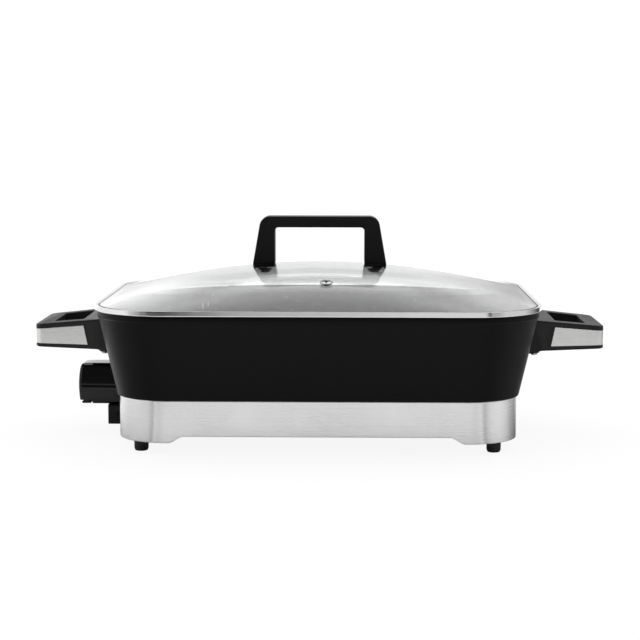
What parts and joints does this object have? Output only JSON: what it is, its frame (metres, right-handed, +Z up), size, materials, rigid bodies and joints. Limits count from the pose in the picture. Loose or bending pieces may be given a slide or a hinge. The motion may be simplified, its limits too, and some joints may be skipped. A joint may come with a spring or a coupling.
{
  "type": "electric skillet",
  "caption": "Rectangular electric skillet: dark flared pan on a steel base, domed glass lid with arched handle, two side handles and a plug-in temperature control.",
  "frame": {"origin": "on the table plane under the middle of the pan, at the bottom centre of the whole object's box", "axes": "+Z up from the table, +X along the length towards the right-hand side handle (the control is at -X), +Y away from the cook"},
  "size_m": [0.5592, 0.324, 0.2162],
  "materials": {
    "pan_coat": "satin non-stick coating on cast aluminium",
    "skirt_steel": "brushed lengthways",
    "rim_steel": "polished",
    "lid_glass": "clear tempered glass",
    "phenolic": "fine-grained phenolic",
    "gloss_black": "high gloss",
    "inlay_steel": "brushed lengthways",
    "base_steel": "plain galvanised sheet",
    "reflector": "bright rolled sheet",
    "foot_rubber": "matt moulded rubber",
    "silicone": "soft silicone",
    "screw_steel": "zinc plated",
    "element": "oxidised sheath",
    "pin_steel": "plated",
    "ceramic": "glazed ceramic",
    "brass": "plain",
    "switch_body": "moulded",
    "lens": "translucent red",
    "gland_black": "moulded"
  },
  "bodies": {
    "base": {"pan_body": "pan_coat", "heating_element": "element", "terminal_pins": "pin_steel", "terminal_insulators": "ceramic", "heat_reflector": "reflector", "reflector_spacers": "base_steel", "base_skirt": "skirt_steel", "base_plate": "base_steel", "base_screws": "screw_steel", "feet": "foot_rubber", "foot_screws": "screw_steel", "socket_guard": "phenolic", "guard_screws": "screw_steel", "left_handle": "phenolic", "right_handle": "phenolic", "left_handle_inlay": "inlay_steel", "right_handle_inlay": "inlay_steel", "handle_screws": "screw_steel"},
    "lid": {"lid_glass": "lid_glass", "lid_rim": "rim_steel", "lid_handle": "phenolic", "lid_handle_pads": "silicone", "lid_handle_screws": "screw_steel", "lid_handle_washers": "silicone", "steam_vent": "rim_steel"},
    "control": {"control_upper_shell": "gloss_black", "control_lower_shell": "gloss_black", "probe_rod": "pin_steel", "contact_sockets": "brass", "thermostat_switch": "switch_body", "indicator_lens": "lens", "cord_gland": "gland_black", "control_screws": "screw_steel"},
    "dial": {"control_dial": "gloss_black", "dial_shaft": "screw_steel"},
    "trigger": {"release_trigger": "gland_black", "trigger_spring": "screw_steel"}
  },
  "joints": [
    {"name": "lid_lift", "type": "slide", "parent": "base", "child": "lid", "axis": [0, 0, 1], "range_m": [0, 0.25]},
    {"name": "control_pull", "type": "slide", "parent": "base", "child": "control", "axis": [-1, 0, 0], "range_m": [0, 0.1]},
    {"name": "dial_turn", "type": "hinge", "parent": "control", "child": "dial", "pos_m": [-0.241, 0, 0.0465], "axis": [-1, 0, 0], "range_deg": [0, 280]},
    {"name": "trigger_press", "type": "slide", "parent": "control", "child": "trigger", "axis": [0, 0, 1], "range_m": [0, 0.0018], "stiffness_N_per_m": 500, "springref_m": -0.002, "deforming": ["trigger_spring"]}
  ]
}
